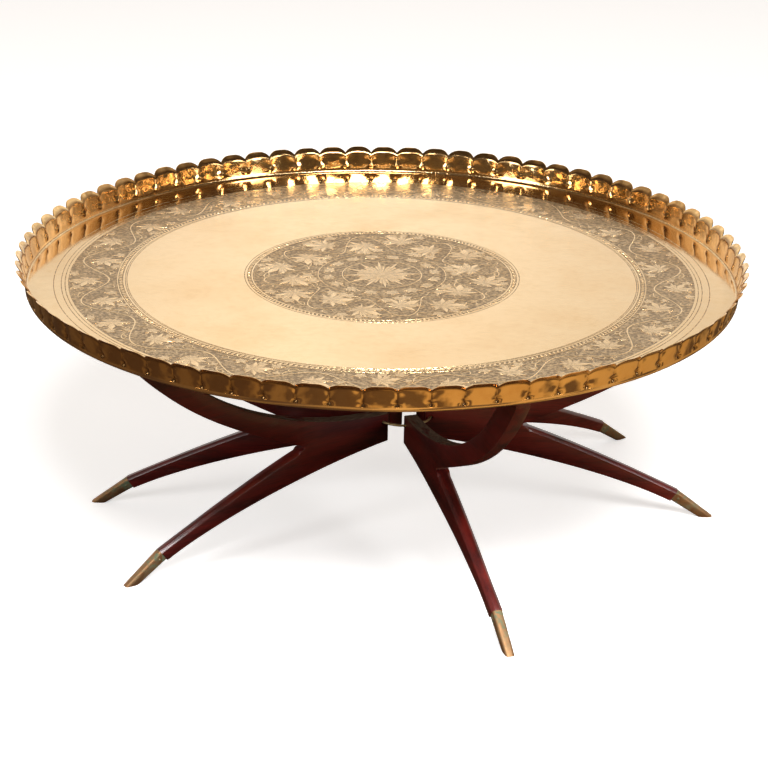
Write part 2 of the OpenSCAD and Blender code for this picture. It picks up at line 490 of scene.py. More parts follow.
@dataclass(frozen=True)
class LacqueredWood(Finish):
    """Dark red hardwood under old lacquer, rubbed thin in patches.

    Attributes:
        light: Colour of the early wood.
        dark: Colour of the late wood.
        bare: Colour of wood whose lacquer is gone.
        grimed: Colour of the dirt in its pores.
        worn: How much of the lacquer is gone, from 0 to 1.
        roughness: Roughness of the lacquer's surface.
        shine: Specular level of the surface.
        scuffs: How much rubbing and smears add to the roughness.
        coat: Weight of the lacquer's own gloss where it is whole.
        coat_roughness: Roughness of that gloss.
    """

    light: Colour = (0.15, 0.012, 0.009, 1)
    dark: Colour = (0.035, 0.004, 0.004, 1)
    bare: Colour = (0.17, 0.125, 0.09, 1)
    grimed: Colour = (0.09, 0.06, 0.045, 1)
    worn: float = 0.0
    roughness: float = 0.27
    shine: float = 0.5
    scuffs: float = 0.16
    coat: float = 0.3
    coat_roughness: float = 0.12

    def build(self, effects: SharedEffects) -> bpy.types.Material:
        """Return the material."""
        material, graph, shader = self.start()
        along = graph.attribute(PLACE, "Vector")
        figure = graph.noise(along, 6.0, 3.0, stretch=(1.0, 9.0, 7.0))
        pores = graph.noise(along, 55.0, 5.0, stretch=(0.6, 14.0, 11.0))
        fibre = graph.plus(graph.times(figure, 0.65), graph.times(pores, 0.35))
        wood = graph.mix(graph.ramp(fibre, 0.36, 0.62), self.dark, self.light)
        flakes = graph.noise(along, 45.0, 5.0, stretch=(0.5, 1.6, 1.6))
        low, high = 0.62 - 0.4 * self.worn, 0.70 - 0.3 * self.worn
        bared = graph.ramp(flakes, low, high, 0.0, min(1.0, 0.12 + self.worn))
        old = graph.mix(graph.ramp(pores, 0.35, 0.65), self.grimed, self.bare)
        graph.link(graph.mix(bared, wood, old), shader, "Base Color")
        base = {"Vector": along, "Base": self.roughness, "Scuffs": self.scuffs}
        handling = graph.place(effects.handling, base)
        rough = graph.plus(handling.outputs["Roughness"], graph.times(bared, 0.3))
        graph.link(rough, shader, "Roughness")
        graph.link(graph.ramp(bared, 0.0, 0.5, self.coat * (1 - self.worn), 0.0), shader, "Coat Weight")
        shader.inputs["Specular IOR Level"].default_value = self.shine
        shader.inputs["Coat Roughness"].default_value = self.coat_roughness
        graph.link(graph.bump(pores, 0.2 * MM, strength=0.35), shader, "Normal")
        return material


# ---------------------------------------------------------------- engraving

# One finger of a leaf, from the notch before it round its tip. Each point has its place across the
# finger, its reach (a fixed part and a share of the finger's), its drop below the polished face as
# a share of the ground's depth, and how deeply it is cut.
FINGER = (
    (-0.50, 0.34, 0.14, 0.60, 1.0),
    (-0.34, 0.00, 0.66, 0.30, 0.1),
    (-0.16, 0.04, 0.60, 0.45, 0.6),
    (0.00, 0.00, 1.00, 0.00, 0.0),
    (0.16, 0.04, 0.60, 0.45, 0.6),
    (0.34, 0.00, 0.66, 0.30, 0.1),
)
SHORT_FINGER = 0.40


class Engraver:
    """Raises leaves, vines and ticks from a sunk ground on the tray's floor.

    The work is in metres round the tray's middle. Heights run from the ground up to the sheet's
    polished face.
    """

    def __init__(self, ground: float, face: float) -> None:
        """Start an empty mesh between the height of the ground and that of the polished face."""
        self.ground = ground
        self.face = face
        self.bm, _ = self.blank()
        self.motifs: dict[tuple[int, bool], bpy.types.Mesh] = {}

    @property
    def depth(self) -> float:
        """Depth of the ground below the polished face."""
        return self.face - self.ground

    @staticmethod
    def blank() -> tuple[BMesh, bmesh.types.BMLayerItem]:
        """Return an empty mesh for one motif, and its layer of cuts."""
        bm = bmesh.new()
        return bm, bm.verts.layers.float.new(CUT_AND_PAINTED_SHADE)

    @staticmethod
    def finish(bm: BMesh) -> bpy.types.Mesh:
        """Turn a motif into a mesh that can be pressed."""
        mesh = bpy.data.meshes.new("motif")
        bm.to_mesh(mesh)
        bm.free()
        return mesh

    def press(self, motif: bpy.types.Mesh, place: Matrix) -> None:
        """Add a copy of a motif to the engraving."""
        copy = motif.copy()
        copy.transform(place)
        self.bm.from_mesh(copy)
        bpy.data.meshes.remove(copy)

    def leaf(
        self, centre: Vector, turn: float, size: float, fingers: int = 9, round_flower: bool = False
    ) -> None:
        """Raise a leaf of pointed fingers.

        Args:
            centre: Middle of the leaf in the plane.
            turn: Direction of its longest finger, in radians.
            size: Length of the longest finger.
            fingers: Number of fingers round the whole leaf; those by the stem are short.
            round_flower: Whether all fingers are equally long, as a flower's petals are.
        """
        key = (fingers, round_flower)
        if key not in self.motifs:
            self.motifs[key] = self.leaf_motif(fingers, round_flower)
        shape = Matrix.Rotation(turn, 4, "Z") @ Matrix.Diagonal((size, size, 1, 1))
        self.press(self.motifs[key], Matrix.Translation(centre) @ shape)

    def leaf_motif(self, fingers: int, round_flower: bool) -> bpy.types.Mesh:
        """Shape a flat disc into a leaf with a finger along +X, each with a ridge and two veins."""
        bm, cut = self.blank()
        points = len(FINGER)
        disc = bmesh.ops.create_circle(
            bm, cap_ends=True, cap_tris=True, segments=points * fingers, radius=1.0
        )["verts"]
        step = math.tau / fingers
        for vert in disc:
            if vert.co.xy.length < 0.5:
                vert.co.z = self.face
                vert[cut] = 0.5
                continue
            turns = (math.atan2(vert.co.y, vert.co.x) + step / 2) / (step / points)
            finger, point = divmod(round(turns) % (points * fingers), points)
            axis = finger * step
            facing = 0.5 + 0.5 * math.cos(axis)
            reach = 1.0 if round_flower else SHORT_FINGER + (1 - SHORT_FINGER) * facing**0.7
            across, fixed, share, drop, vert[cut] = FINGER[point]
            vert.co = polar(fixed + share * reach, axis + across * step, self.face - drop * self.depth)
        self.skirt(bm, cut)
        return self.finish(bm)

    def skirt(self, bm: BMesh, cut: bmesh.types.BMLayerItem) -> None:
        """Carry a motif's open border down to the ground."""
        edges = [edge for edge in bm.edges if edge.is_boundary]
        down = bmesh.ops.extrude_edge_only(bm, edges=edges)["geom"]
        for vert in down:
            if isinstance(vert, bmesh.types.BMVert):
                vert.co.z = self.ground
                vert[cut] = 1.0

    def ridge(
        self,
        centre: Vector,
        radius: float,
        start: float,
        sweep: float,
        width: float,
        steps: int,
        swing: Callable[[float], float] = lambda angle: 0.0,
    ) -> None:
        """Spin a small roof-shaped ridge about a point of the floor.

        Args:
            centre: Point that the ridge turns round.
            radius: Radius of the ridge's crest.
            start: Direction in which it starts, in radians.
            sweep: Angle that it turns through; a full turn closes it.
            width: Width of its foot.
            steps: Number of stretches.
            swing: How far the ridge lies outside its radius, for each angle.
        """
        bm, cut = self.blank()
        section = []
        foot, crest = (self.ground, 1.0), (self.face, 0.0)
        for side, (height, sunk) in ((-1, foot), (-0.4, crest), (0.4, crest), (1, foot)):
            vert = bm.verts.new((radius + side * width / 2, 0, height))
            vert[cut] = sunk
            section.append(vert)
        edges = [bm.edges.new(pair) for pair in zip(section, section[1:])]
        bmesh.ops.spin(
            bm,
            geom=section + edges,
            cent=(0, 0, 0),
            axis=(0, 0, 1),
            dvec=(0, 0, 0),
            angle=sweep,
            steps=steps,
            use_merge=abs(sweep) > 0.999 * math.tau,
            use_duplicate=False,
        )
        for vert in bm.verts:
            flat = vert.co.xy
            moved = 1 + swing(math.atan2(flat.y, flat.x)) / flat.length
            vert.co.x *= moved
            vert.co.y *= moved
        motif = self.finish(bm)
        self.press(motif, Matrix.Translation(centre) @ Matrix.Rotation(start, 4, "Z"))

    def vine(self, radius: float, swing: float, waves: int, width: float) -> None:
        """Raise a vine that swings in and out round the tray's middle.

        Args:
            radius: Mean radius of the vine.
            swing: How far it swings to each side.
            waves: Number of waves round the circle.
            width: Width of the vine.
        """
        steps = waves * 32
        self.ridge(
            Vector(), radius, 0.0, math.tau, width, steps, lambda angle: swing * math.sin(waves * angle)
        )

    def ticks(self, radius: float, length: float, count: int, slant: float, width: float) -> None:
        """Raise a ring of small slanted strokes.

        Args:
            radius: Radius of the strokes' middles.
            length: Length of a stroke.
            count: Number of strokes.
            slant: Turn of a stroke from the radial direction, in radians.
            width: Width of a stroke.
        """
        bm, cut = self.blank()
        bmesh.ops.create_circle(bm, cap_ends=True, cap_tris=False, segments=6, radius=0.5)
        for vert in bm.verts:
            vert.co.z = self.face
        self.skirt(bm, cut)
        stroke = self.finish(bm)
        shape = Matrix.Rotation(slant, 4, "Z") @ Matrix.Diagonal((length, width, 1, 1))
        for i in range(count):
            turn = Matrix.Rotation(math.tau * i / count, 4, "Z")
            self.press(stroke, turn @ Matrix.Translation((radius, 0, 0)) @ shape)


# Small leaves and curls of a bay: place along the bay, distance from the vine's mean radius as a
# share of its swing, and a leaf's size or a curl's turn in radians.
SPRIGS = ((-0.62, 1.1, 1.0), (0.62, 1.1, 1.0), (0.05, 1.2, 0.8), (0.85, 0.2, 0.7))
CURLS = ((0.12, 0.95, 4.4), (0.86, 1.0, -4.2))


@dataclass
class Scroll:
    """A vine scroll between two circles, with a large leaf in each of its bays.

    Attributes:
        inner: Radius of the ground's inner edge.
        outer: Radius of the ground's outer edge.
        waves: Number of waves of the vine.
        leaf: Length of a large leaf.
        sprig: Length of a small leaf.
        vine_width: Width of the vine.
    """

    inner: float
    outer: float
    waves: int
    leaf: float
    sprig: float
    vine_width: float

    @property
    def middle(self) -> float:
        """Mean radius of the vine."""
        return (self.inner + self.outer) / 2

    @property
    def swing(self) -> float:
        """How far the vine swings to each side."""
        return (self.outer - self.inner) * 0.34

    def raise_on(self, engraver: Engraver) -> None:
        """Raise the scroll from the ground."""
        engraver.vine(self.middle, self.swing, self.waves, self.vine_width)
        bays = 2 * self.waves
        for bay in range(bays):
            side = 1 if bay % 2 == 0 else -1
            angle = math.tau * (bay + 0.5) / bays
            centre = polar(self.middle - side * self.swing * 0.30, angle)
            lean = 0.5 + 0.25 * wobble(bay, 3)
            engraver.leaf(centre, angle + math.pi / 2 + side * lean, self.leaf)
            self.add_stem(engraver, angle, side)
            self.add_sprigs(engraver, bay, side)

    def add_stem(self, engraver: Engraver, angle: float, side: int) -> None:
        """Join a bay's leaf to the vine by a curved stem."""
        centre = polar(self.middle + side * self.swing * 0.25, angle - 0.9 / self.waves)
        start = angle - math.pi / 2
        engraver.ridge(centre, self.leaf * 0.62, start, side * 1.9, self.vine_width * 0.7, 10)

    def add_sprigs(self, engraver: Engraver, bay: int, side: int) -> None:
        """Fill the corners beside a bay with small leaves and two curls."""
        bays = 2 * self.waves
        for offset, reach, share in SPRIGS:
            angle = math.tau * (bay + 0.5 + offset * 0.5) / bays
            point = polar(self.middle - side * self.swing * reach, angle)
            turn = angle + math.pi / 2 + offset * 2.4 + 0.5 * wobble(bay, 5 + offset)
            engraver.leaf(point, turn, self.sprig * share, fingers=6)
        for offset, reach, turn in CURLS:
            angle = math.tau * (bay + offset) / bays
            point = polar(self.middle + side * self.swing * reach, angle)
            engraver.ridge(point, self.sprig * 0.5, angle, side * turn, self.vine_width * 0.6, 10)


# ---------------------------------------------------------------- tray


@dataclass
class Tray:
    """The brass tray: engraved floor, plain bend and fluted, scalloped wall.

    Attributes:
        sheet: Thickness of the sheet.
        bend: Outer radius of the bend between floor and wall.
        cut_depth: Depth of the engraved ground.
        flutes: Number of flutes round the wall.
        flute_steps: Number of stretches across one flute.
        flute_levels: Number of stretches up the wall.
        bulge: How far a flute swells at its top.
        flare: How far a scallop's middle turns out beyond that.
        crease_flare: Share of the flare that is left at a crease.
        bend_level: Share of the wall's height at which the scallops turn out.
        scallop: How much higher a scallop's middle is than its ends.
        lean: How far the creases lean outwards.
        fold: Depth of the sharp fold at a crease.
        dart: Depth of the dent at a crease's foot.
        twist: Most that hand work turns a flute's face.
        ripple: Most that hand work pushes a flute's middle in or out.
        uneven: Most that hand work lowers a scallop.
        rosette: Reach of the flower in the middle.
        wreath: Mean radius of the ring of leaves round it.
        medallion: Radius of the engraved medallion.
        band_inner: Inner radius of the engraved band.
        band_outer: Outer radius of the engraved band.
        slope: Width of the slope from the polished face to a ground.
        floor_steps: Number of stretches round the floor.
        base: Outer radius of the wall's foot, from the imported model.
        under: Height of the tray's underside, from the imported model.
        band_top: Height of the flutes' foot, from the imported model.
        top: Height of the scallops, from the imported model.
    """

    sheet: float = 1.4 * MM
    bend: float = 5 * MM
    cut_depth: float = 0.35 * MM
    flutes: int = 76
    flute_steps: int = 16
    flute_levels: int = 18
    bulge: float = 4.2 * MM
    flare: float = 6.8 * MM
    crease_flare: float = 0.45
    bend_level: float = 0.8
    scallop: float = 8.6 * MM
    lean: float = 3 * MM
    fold: float = 1.3 * MM
    dart: float = 1.8 * MM
    twist: float = 2.6 * MM
    ripple: float = 1.0 * MM
    uneven: float = 1.1 * MM
    rosette: float = 62 * MM
    wreath: float = 84 * MM
    medallion: float = 208 * MM
    band_inner: float = 424 * MM
    band_outer: float = 501 * MM
    slope: float = 0.25 * MM
    floor_steps: int = 360
    base: float = field(init=False)
    under: float = field(init=False)
    band_top: float = field(init=False)
    top: float = field(init=False)

    def __post_init__(self) -> None:
        """Take the tray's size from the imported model."""
        low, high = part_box("tray_floor")
        self.base = high.x
        self.under = low.z
        self.band_top = high.z
        self.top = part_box("tray_rim")[1].z

    @property
    def face(self) -> float:
        """Height of the floor's polished face."""
        return self.under + self.sheet

    def grounds(self) -> list[tuple[float, float]]:
        """Return the inner and outer radius of each sunk ground."""
        borders = [
            (0.0, self.medallion),
            (self.medallion + 2.4 * MM, self.medallion + 9 * MM),
            (self.band_inner - 9.5 * MM, self.band_inner - 1.8 * MM),
            (self.band_inner, self.band_outer),
        ]
        lines = [self.medallion + 13 * MM]
        lines += [self.band_inner - gap * MM for gap in (13, 15.5)]
        lines += [self.band_outer + gap * MM for gap in (5, 11, 23)]
        return sorted(borders + [(line - 0.5 * MM, line + 0.5 * MM) for line in lines])

    def floor_profile(self) -> list[tuple[float, float, float]]:
        """Return the floor's section: radius, height and how dark and rough it is, which is the
        engraving's depth and, round the inner bend and underneath, a plain darkening.
        """
        ground = self.face - self.cut_depth
        section = [(0.0, ground, 1.0)]
        for inner, outer in self.grounds():
            if inner > 0:
                section.append((inner - self.slope, self.face, 0.0))
                section.append((inner, ground, 1.0))
            reach = outer - inner
            middles = int(reach / (30 * MM))
            for k in range(1, middles + 1):
                section.append((inner + reach * k / (middles + 1), ground, 1.0))
            section.append((outer, ground, 1.0))
            section.append((outer + self.slope, self.face, 0.0))
        corner = self.base - self.bend
        # Plain stretches that grow towards the corner.
        for k in range(1, 6):
            last = section[-1][0]
            section.append((last + 0.2 * (corner - last) * k / 5, self.face, 0.0))
        middle = self.under + self.bend
        inside = self.bend - self.sheet
        for k in range(7):
            turn = math.radians(-90 + 15 * k)
            # Darker and rougher round the inner bend.
            grime_and_shade = 0.35 if 0 < k < 6 else 0.05
            section.append((corner + inside * math.cos(turn), middle + inside * math.sin(turn), grime_and_shade))
        section.append((self.base - self.sheet, self.band_top, 0.0))
        section.append((self.base, self.band_top, 0.0))
        for k in range(7):
            turn = math.radians(-15 * k)
            section.append((corner + self.bend * math.cos(turn), middle + self.bend * math.sin(turn), 0.0))
        # The underside is a little darker.
        section += [(radius, self.under, 0.3) for radius in (300 * MM, 0.0)]
        return section

    def build_floor(self) -> BMesh:
        """Wrap the floor's section round the tray's middle."""
        bm = bmesh.new()
        cut = bm.verts.layers.float.new(CUT_AND_PAINTED_SHADE)
        section = self.floor_profile()
        for vert, row, angle in wrapped_grid(bm, len(section), self.floor_steps):
            radius, height, vert[cut] = section[row]
            vert.co = polar(radius, angle, height)
        close_up(bm)
        mark_sharp(bm, 40)
        return bm

    def build_engraving(self) -> BMesh:
        """Raise the medallion, the band and their borders."""
        engraver = Engraver(self.face - self.cut_depth, self.face)
        origin = Vector()
        wreath_edge = self.wreath + 19 * MM
        engraver.leaf(origin, 0.1, self.rosette, fingers=12, round_flower=True)
        engraver.ridge(origin, self.rosette + 2 * MM, 0, math.tau, 2 * MM, 120)
        for k in range(16):
            angle = math.tau * (k + 0.5) / 16
            engraver.leaf(polar(self.wreath, angle), angle, 18 * MM, fingers=7)
        engraver.ridge(origin, wreath_edge, 0, math.tau, 1.6 * MM, 160)
        inner_scroll = Scroll(wreath_edge + 1 * MM, self.medallion, 8, 40 * MM, 17 * MM, 3.2 * MM)
        inner_scroll.raise_on(engraver)
        outer_scroll = Scroll(self.band_inner, self.band_outer, 15, 33 * MM, 15 * MM, 3.0 * MM)
        outer_scroll.raise_on(engraver)
        engraver.ticks(self.medallion + 5.7 * MM, 6.4 * MM, 190, 0.5, 3.6 * MM)
        engraver.ticks(self.band_inner - 5.6 * MM, 7.4 * MM, 330, -0.6, 4 * MM)
        bmesh.ops.recalc_face_normals(engraver.bm, faces=engraver.bm.faces[:])
        mark_sharp(engraver.bm, 20)
        return engraver.bm

    def wall_point(self, angle: float, level: float, inset: float) -> Vector:
        """Return a point of the wall.

        Args:
            angle: Direction of the point before it is crowded towards its crease, in radians.
            level: 0 at the foot of the flutes, 1 at the lip.
            inset: Distance inwards from the outer face.

        Returns:
            The point, in the row frame.
        """
        turns = angle / math.tau * self.flutes
        flute = round(turns)
        index = flute % self.flutes
        side = 2 * (turns - flute)
        crowded = math.copysign(1 - (1 - min(1.0, abs(side))) ** 1.6, side)
        across = abs(crowded)
        roundness = 4.0 - 2.0 * smoothstep(0.0, 0.8, level)
        swell = self.bulge * level**1.25 * (1 - across**roundness) * (1 - 0.14 * abs(wobble(index, 1)))
        flare = max(0.0, (level - self.bend_level) / (1 - self.bend_level)) ** 1.15
        flare *= self.flare * (1 - (1 - self.crease_flare) * across**3)
        tilt = self.twist * wobble(index, 6) * crowded * (1 - across) * level * (1.2 - level)
        tilt += self.ripple * wobble(index, 8) * (1 - across**2) * math.sin(math.pi * level)
        fold = self.fold * math.exp(-(1 - across) / 0.08)
        fold *= smoothstep(0.02, 0.14, level) * (1 - 0.8 * level)
        dart = self.dart * math.exp(-(((1 - across) / 0.30) ** 2) - ((level - 0.20) / 0.15) ** 2)
        radius = self.base + self.lean * level + swell + flare + tilt - fold - dart - inset
        dip = self.scallop * across**3.2 + self.uneven * abs(wobble(index, 2)) * (1 - across)
        height = self.band_top + level * (self.top - self.band_top - dip)
        place = flute + crowded / 2 + 0.04 * wobble(index, 4) * (1 - across)
        return polar(radius, place / self.flutes * math.tau, height)

    def build_wall(self) -> BMesh:
        """Wrap a wall round the tray and press the flutes, creases and scallops into it."""
        bm = bmesh.new()
        cut = bm.verts.layers.float.new(CUT_AND_PAINTED_SHADE)
        levels = [1 - (1 - k / self.flute_levels) ** 1.15 for k in range(self.flute_levels + 1)]
        rows = [(level, 0.0) for level in levels] + [(level, self.sheet) for level in reversed(levels)]
        for vert, row, angle in wrapped_grid(bm, len(rows), self.flutes * self.flute_steps):
            level, inset = rows[row]
            turns = angle / math.tau * self.flutes
            side = 2 * abs(turns - round(turns))
            # On the wall the cut value is painted shade: darker beside each crease towards the foot, and a
            # painted shadow in a band under the flared lip.
            grime_and_shade = 0.8 * smoothstep(0.6, 0.95, side) * (1 - smoothstep(0.1, 0.9, level))
            lip = 0.7 * smoothstep(0.70, 0.80, level) * (1 - smoothstep(0.82, 0.92, level))
            vert[cut] = max(grime_and_shade, lip)
            vert.co = self.wall_point(angle, level, inset)
        close_up(bm, 1e-5)
        foot = [edge for edge in bm.edges if edge.is_boundary]
        bmesh.ops.bridge_loops(bm, edges=foot)
        close_up(bm)
        mark_sharp(bm, 38)
        return bm

    def build(self, finishes: "Finishes") -> None:
        """Build the tray's pieces and dress them."""
        sheet = Piece("tray_sheet", "tray", "engraved_brass", ("tray_floor",))
        sheet.make(self.build_floor(), [finishes.sheet])
        engraving = Piece("tray_engraving", "tray", "engraved_brass")
        engraving.make(self.build_engraving(), [finishes.sheet])
        wall = Piece("tray_wall", "tray", "fluted_brass", ("tray_rim",))
        wall.make(self.build_wall(), [finishes.wall])


# ---------------------------------------------------------------- stand

# How far the ends of the board's four curves pull, in mm outwards and upwards: from the curve's
# start and from its end.
ARM_TOP = ((173, 1), (-93, -166))
ARM_UNDER = ((-92, -134), (111, 47))
LEG_TOP = ((91, -32), (-79, 39))
LEG_UNDER = ((-113, 55), (123, -13))
# How much a spigot or a bore narrows towards the toe, along, across and down.
NARROWING = (0.72, 0.9, 0.72)


@dataclass
class Board:
    """One board of the stand: an arm up to the tray and a leg down to the floor.

    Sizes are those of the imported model. The board is built along +X from the stand's axis and
    then turned to its direction.

    Attributes:
        arm_tip: Distance of the arm's tip from the stand's axis.
        tray_z: Height of the arm's flat, on which the tray lies.
        thick: Thickness of the board.
        foot_thick: Thickness of the leg at its foot.
        fold_step: Angle between neighbouring boards when the stand is folded, in degrees.
        fold_play: Gap that then stays between their inner corners.
        hub_bottom: Height of the inner end's lower corner.
        hub_top: Height of the inner end's upper corner.
        crotch_r: Distance from the axis at which arm and leg part.
        crotch_z: Height at which they part.
        tip_flat: Length of the arm's flat.
        tip_drop: Depth of the arm's tip.
        foot_inset: How much less than the arm the leg reaches out.
        ring_inset: Distance of the ring's hole from the inner end.
        ring_z: Height of the ring.
        ring_hole: Diameter of the ring's hole.
        cap_len: Length of a foot cap along its slope.
        cap_slope: Slope of the cap, in degrees.
        cap_depth: Depth of the cap at its mouth.
        toe_depth: Depth of the cap at its toe.
        cap_wall: Thickness of the cap's sheet.
        cap_proud: How far the cap stands proud of the spigot.
        cap_round: Width of the cap's rounded long edges.
        toe_round: Width of its rounded toe.
        toe_cut: How far the toe reaches past the foot's middle.
        toe_solid: Length of the cap's solid end.
        spigot_play: Gap between the spigot and the cap.
        chamfer: Width of the chamfer along the leg's upper edges.
        broken: Width of all other broken edges.
        bare_depth: How near the arm's top a face lies to be worn bare.
        curve_steps: Number of stretches of each curve.
        nail_from_edge: Distance of a nail from the cap's mouth.
        nail_head: Diameter of a nail's head.
    """

    arm_tip: float
    tray_z: float
    thick: float = 22 * MM
    foot_thick: float = 15 * MM
    fold_step: float = 34.0
    fold_play: float = 0.6 * MM
    hub_bottom: float = 142 * MM
    hub_top: float = 191 * MM
    crotch_r: float = 199 * MM
    crotch_z: float = 166 * MM
    tip_flat: float = 40 * MM
    tip_drop: float = 24 * MM
    foot_inset: float = 16 * MM
    ring_inset: float = 9 * MM
    ring_z: float = 176 * MM
    ring_hole: float = 7.07 * MM
    cap_len: float = 68 * MM
    cap_slope: float = 35.0
    cap_depth: float = 19.5 * MM
    toe_depth: float = 14 * MM
    cap_wall: float = 1.2 * MM
    cap_proud: float = 1.0 * MM
    cap_round: float = 4.4 * MM
    toe_round: float = 5.0 * MM
    toe_cut: float = 11 * MM
    toe_solid: float = 14 * MM
    spigot_play: float = 0.3 * MM
    chamfer: float = 5 * MM
    broken: float = 0.8 * MM
    bare_depth: float = 13 * MM
    curve_steps: int = 26
    nail_from_edge: float = 9 * MM
    nail_head: float = 4.6 * MM

    def __post_init__(self) -> None:
        """Work out the hub's radius and the line of the leg's capped end."""
        half_fold = math.radians(self.fold_step / 2)
        self.hub_r = (self.thick / 2 * math.cos(half_fold) + self.fold_play / 2) / math.sin(half_fold)
        slope = math.radians(self.cap_slope)
        self.foot_r = self.arm_tip - self.foot_inset
        self.cap_axis = Vector((math.cos(slope), 0, -math.sin(slope)))
        self.cap_side = Vector((math.sin(slope), 0, math.cos(slope)))
        self.shoulder = Vector((self.foot_r, 0, 0)) - self.cap_len * self.cap_axis

    @staticmethod
    def point(radius: float, height: float) -> Vector:
        """Return a point of the board's middle plane."""
        return Vector((radius, 0, height))

    def width_at(self, radius: float) -> float:
        """Return the leg's thickness at a distance from the stand's axis."""
        share = (radius - self.crotch_r) / (self.foot_r - self.crotch_r)
        return self.thick + (self.foot_thick - self.thick) * max(0.0, min(1.2, share))

    def curve(self, start: Vector, end: Vector, pulls: tuple[tuple, tuple]) -> list[Vector]:
        """Return a curve of the outline whose ends pull it as far as is given in mm."""
        leave, arrive = (self.point(*pull) * MM for pull in pulls)
        return bezier(start, start + leave, end + arrive, end, self.curve_steps)

    def outline(self) -> tuple[list[Vector], list[Vector], list[Vector], list[Vector]]:
        """Return the curves of the arm's top, its underside, the leg's top and its underside."""
        half = (self.cap_depth / 2 + self.cap_proud) * self.cap_side
        flat = self.point(self.arm_tip - self.tip_flat, self.tray_z)
        tip = self.point(self.arm_tip + 2 * MM, self.tray_z - self.tip_drop)
        arm_top = self.curve(self.point(self.hub_r, self.hub_top), flat, ARM_TOP)
        arm_under = self.curve(tip, self.point(self.crotch_r, self.crotch_z + 2 * MM), ARM_UNDER)
        crotch = self.point(self.crotch_r, self.crotch_z - 2 * MM)
        leg_top = self.curve(crotch, self.shoulder + half, LEG_TOP)
        leg_under = self.curve(self.shoulder - half, self.point(self.hub_r, self.hub_bottom), LEG_UNDER)
        return arm_top, arm_under, leg_top, leg_under

    def hole_middle(self) -> Vector:
        """Return the middle of the ring's hole."""
        return self.point(self.hub_r + self.ring_inset, self.ring_z)

    def build_board(self, shift: float) -> BMesh:
        """Saw the board's outline from a plank, taper the leg and break its edges.

        Args:
            shift: Where in the plank the board was cut, which moves its grain.

        Returns:
            The board along +X.
        """
        bm = bmesh.new()
        arm_top, arm_under, leg_top, leg_under = self.outline()
        loop = arm_top + [self.point(self.arm_tip, self.tray_z)] + arm_under + leg_top + leg_under
        verts = [bm.verts.new(p) for p in loop]
        edges = [bm.edges.new(pair) for pair in zip(verts, verts[1:] + verts[:1])]
        place = Matrix.Translation(self.hole_middle()) @ Matrix.Rotation(math.pi / 2, 4, "X")
        hole = bmesh.ops.create_circle(bm, segments=20, radius=self.ring_hole / 2, matrix=place)["verts"]
        edges += dict.fromkeys(edge for vert in hole for edge in vert.link_edges)
        bmesh.ops.triangle_fill(bm, use_beauty=True, use_dissolve=False, edges=edges)
        bmesh.ops.translate(bm, verts=bm.verts[:], vec=(0, -self.thick / 2, 0))
        for corner in leg_top[1:-1]:
            everything = bm.verts[:] + bm.edges[:] + bm.faces[:]
            bmesh.ops.bisect_plane(bm, geom=everything, dist=1e-5, plane_co=corner, plane_no=(1, 0, 0))
        self.clear_inside(bm)
        grown = bmesh.ops.extrude_face_region(bm, geom=bm.faces[:])["geom"]
        moved = [v for v in grown if isinstance(v, bmesh.types.BMVert)]
        bmesh.ops.translate(bm, verts=moved, vec=(0, self.thick, 0))
        for vert in bm.verts:
            if vert.co.x > self.crotch_r and vert.co.z < self.crotch_z:
                extra = self.cap_proud * smoothstep(self.shoulder.x - 60 * MM, self.shoulder.x, vert.co.x)
                vert.co.y = math.copysign(self.width_at(vert.co.x) / 2 + extra, vert.co.y)
        close_up(bm)
        self.add_spigot(bm)
        self.break_edges(bm, leg_top)
        self.mark_surface(bm, arm_top, shift)
        mark_sharp(bm, 30)
        return bm

    def clear_inside(self, bm: BMesh) -> None:
        """Leave one face between each two cuts of the leg, and no short edges round it."""
        slanted = [
            e
            for e in bm.edges
            if not e.is_boundary
            and min(v.co.x for v in e.verts) > self.crotch_r - 1e-6
            and abs(e.verts[0].co.x - e.verts[1].co.x) > 1e-6
        ]
        bmesh.ops.dissolve_edges(bm, edges=slanted, use_verts=False)
        spare = [v for v in bm.verts if v.co.x > self.crotch_r and len(v.link_edges) == 2]
        bmesh.ops.dissolve_verts(bm, verts=[v for v in spare if not v.is_boundary])
        rim = [v for v in bm.verts if v.co.x > self.crotch_r + 5 * MM and v.is_boundary]
        bmesh.ops.remove_doubles(bm, verts=rim, dist=1.6 * MM)

    def add_spigot(self, bm: BMesh) -> None:
        """Draw the leg's end in and carry it on as the spigot that fills its cap."""
        ends = [f for f in bm.faces if (f.calc_center_median() - self.shoulder).length < 6 * MM]
        end = max(ends, key=lambda f: f.normal.dot(self.cap_axis))
        inset = self.cap_wall + self.cap_proud + self.spigot_play
        self.draw_in(bm, end, inset, self.cap_len - self.toe_solid - 2 * MM)

    def draw_in(self, bm: BMesh, end: bmesh.types.BMFace, inset: float, reach: float) -> None:
        """Draw a face by the cap's mouth in and carry it, narrowing, towards the toe.

        Args:
            bm: Mesh of the face.
            end: The face, which looks along the cap's axis or against it.
            inset: How far its border is drawn in.
            reach: How far it is carried.
        """
        bmesh.ops.inset_region(bm, faces=[end], thickness=inset, use_even_offset=True)
        verts = bmesh.ops.extrude_discrete_faces(bm, faces=[end])["faces"][0].verts[:]
        bmesh.ops.translate(bm, verts=verts, vec=self.cap_axis * reach)
        middle = self.shoulder + self.cap_axis * reach
        bmesh.ops.scale(bm, vec=NARROWING, verts=verts, space=Matrix.Translation(-middle))

    def break_edges(self, bm: BMesh, leg_top: list[Vector]) -> None:
        """Chamfer the leg's two upper edges broadly and all other edges finely."""
        first = self.crotch_r + 6 * MM
        last = leg_top[-1].x + 1 * MM

        def on_top(vert: bmesh.types.BMVert) -> bool:
            """Return whether a vertex lies on the leg's upper curve."""
            for a, b in zip(leg_top, leg_top[1:]):
                if a.x - 1e-6 <= vert.co.x <= b.x + 1e-6:
                    share = (vert.co.x - a.x) / max(b.x - a.x, 1e-9)
                    return abs(a.z + (b.z - a.z) * share - vert.co.z) < 0.4 * MM
            return False

